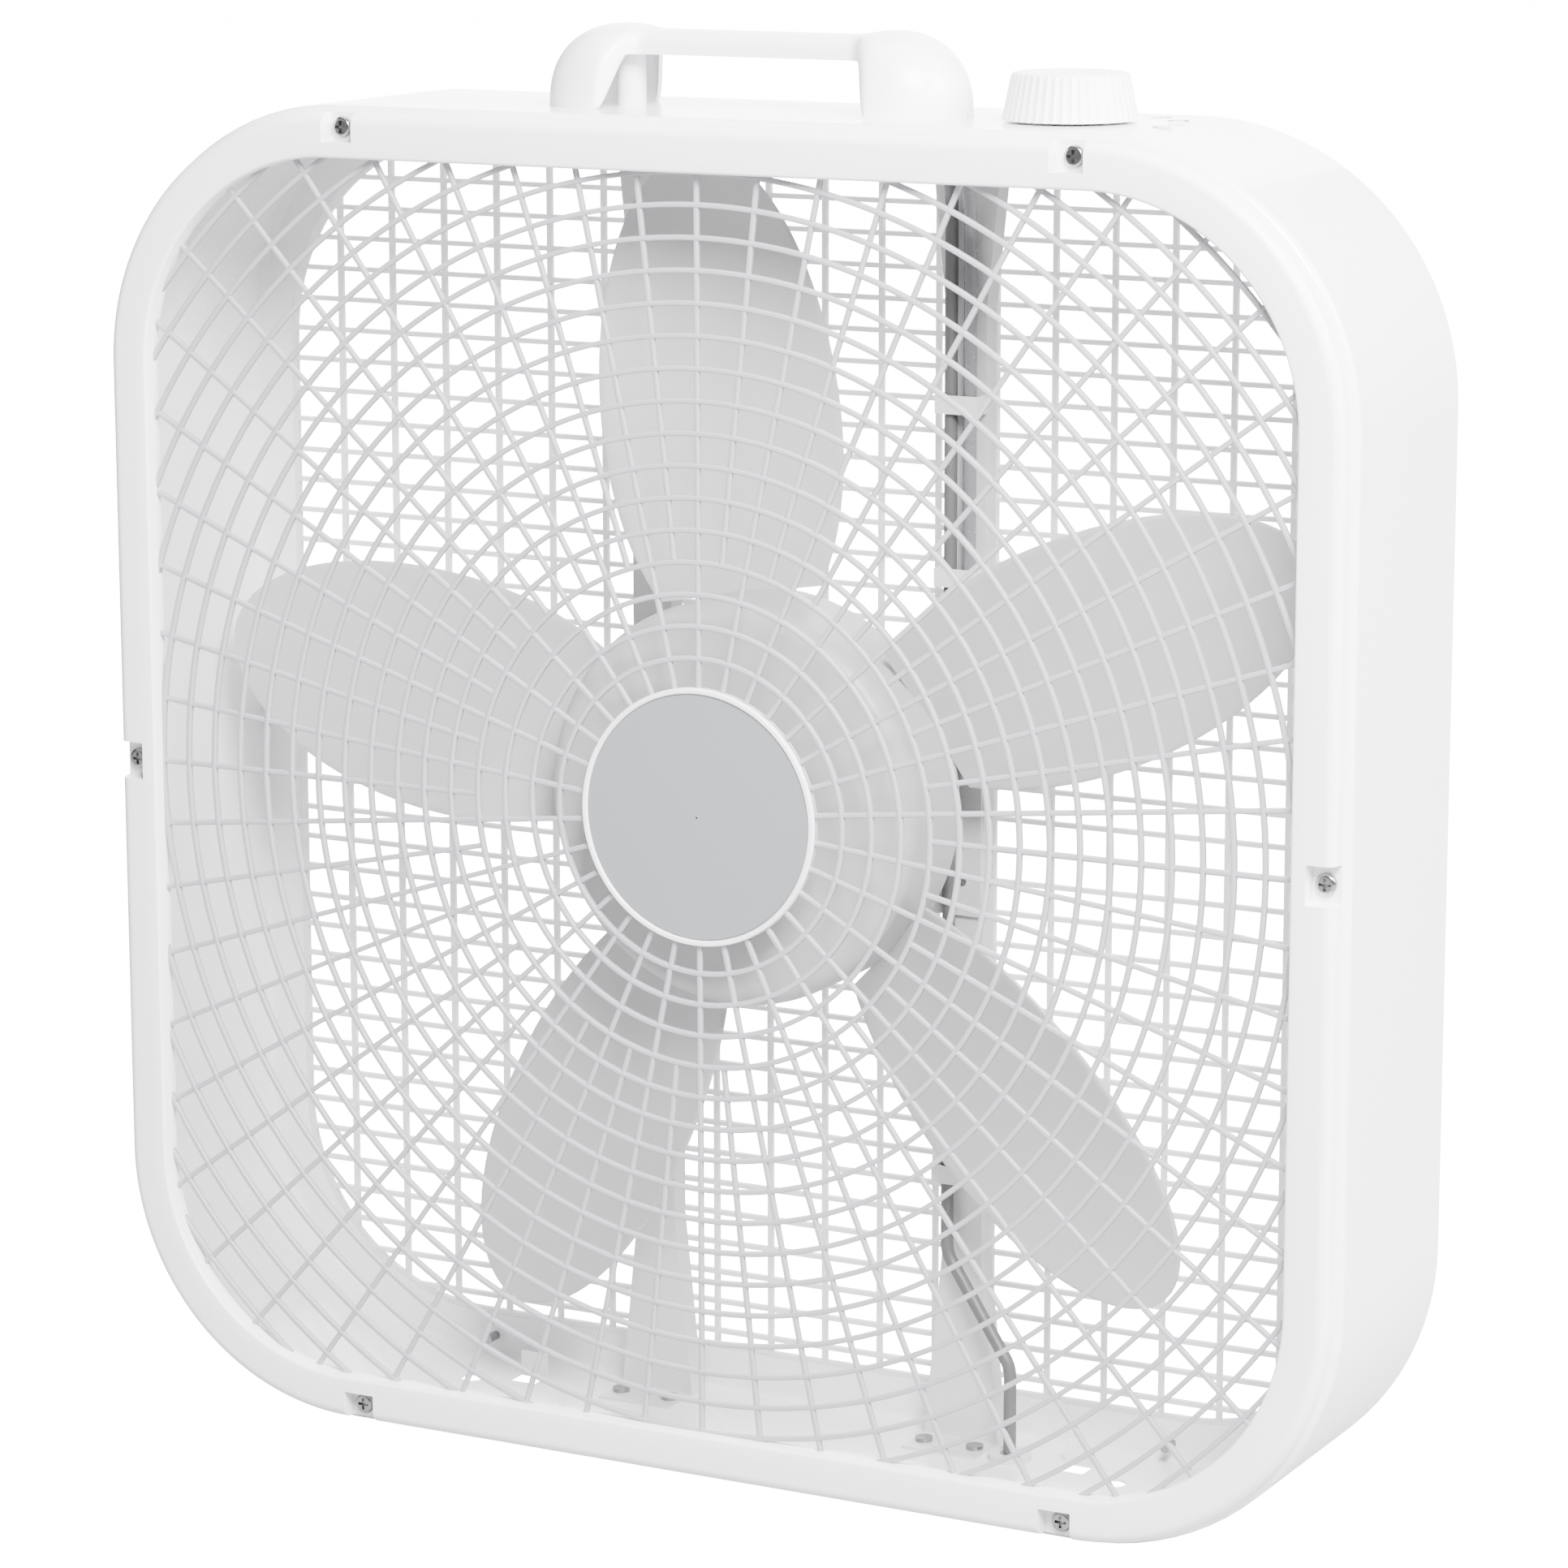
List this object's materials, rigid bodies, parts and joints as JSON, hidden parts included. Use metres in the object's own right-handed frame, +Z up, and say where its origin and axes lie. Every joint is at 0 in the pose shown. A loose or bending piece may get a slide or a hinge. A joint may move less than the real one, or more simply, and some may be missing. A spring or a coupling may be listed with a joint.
{
  "type": "box fan",
  "caption": "White square box fan: steel wrapper, moulded ring-and-spoke front grille, petal-blade impeller on a strut-mounted motor, carry handle and fluted speed knob on top.",
  "frame": {"origin": "middle of the bounding box's underside, on the surface that the fan stands on", "axes": "+X to the right seen from the front, +Y from the front grille to the rear grille, +Z up"},
  "size_m": [0.52, 0.111, 0.551],
  "materials": {
    "wrapper_paint": "gloss enamel",
    "grille_plastic": "satin moulded",
    "badge_grey": "fine brushed",
    "blade_plastic": "semi-translucent moulded",
    "handle_plastic": "satin moulded",
    "knob_plastic": "satin moulded",
    "screw_chrome": "bright plated",
    "bright_steel": "turned",
    "core_steel": "stamped laminations",
    "motor_metal": "die cast",
    "bearing_bronze": "sintered",
    "winding_copper": "enamelled copper wire",
    "washer_fibre": "fibre",
    "zinc_sheet": "galvanised, light grey",
    "switch_plastic": "moulded",
    "lead_sheath": "smooth",
    "lead_sleeve": "crumpled insulating sleeve",
    "clip_plastic": "moulded",
    "capacitor_case": "moulded",
    "bush_black": "moulded"
  },
  "bodies": {
    "housing": {"band": "wrapper_paint", "front_grille": "grille_plastic", "badge": "badge_grey", "rear_grille": "grille_plastic", "front_grille_screws": "screw_chrome", "rear_grille_screws": "screw_chrome", "motor_front_cover": "motor_metal", "motor_rear_cover": "motor_metal", "front_bearing": "bearing_bronze", "rear_bearing": "bearing_bronze", "stator_core": "core_steel", "stator_windings": "winding_copper", "motor_bolts": "bright_steel", "motor_nuts": "bright_steel", "motor_plate": "zinc_sheet", "strut_left": "zinc_sheet", "strut_right": "zinc_sheet", "strut_rivets": "screw_chrome", "plate_screws": "bright_steel", "handle": "handle_plastic", "handle_screws": "bright_steel", "switch_body": "switch_plastic", "switch_nut": "bright_steel", "supply_lead": "lead_sheath", "motor_lead": "lead_sleeve", "lead_clips": "clip_plastic", "capacitor": "capacitor_case", "capacitor_strap": "zinc_sheet", "cord_inlet_bush": "bush_black"},
    "spinner": {"impeller": "blade_plastic", "motor_shaft": "bright_steel", "hub_spring_clip": "bright_steel", "rotor": "core_steel", "thrust_washers": "washer_fibre"},
    "dial": {"knob": "knob_plastic", "switch_shaft": "bright_steel"}
  },
  "joints": [
    {"name": "fan_spin", "type": "hinge", "parent": "housing", "child": "spinner", "pos_m": [0, 0, 0.26], "axis": [0, 1, 0], "continuous": true},
    {"name": "knob_turn", "type": "hinge", "parent": "housing", "child": "dial", "pos_m": [0.1275, 0, 0.52], "axis": [0, 0, 1], "range_deg": [0, 67.5]}
  ]
}
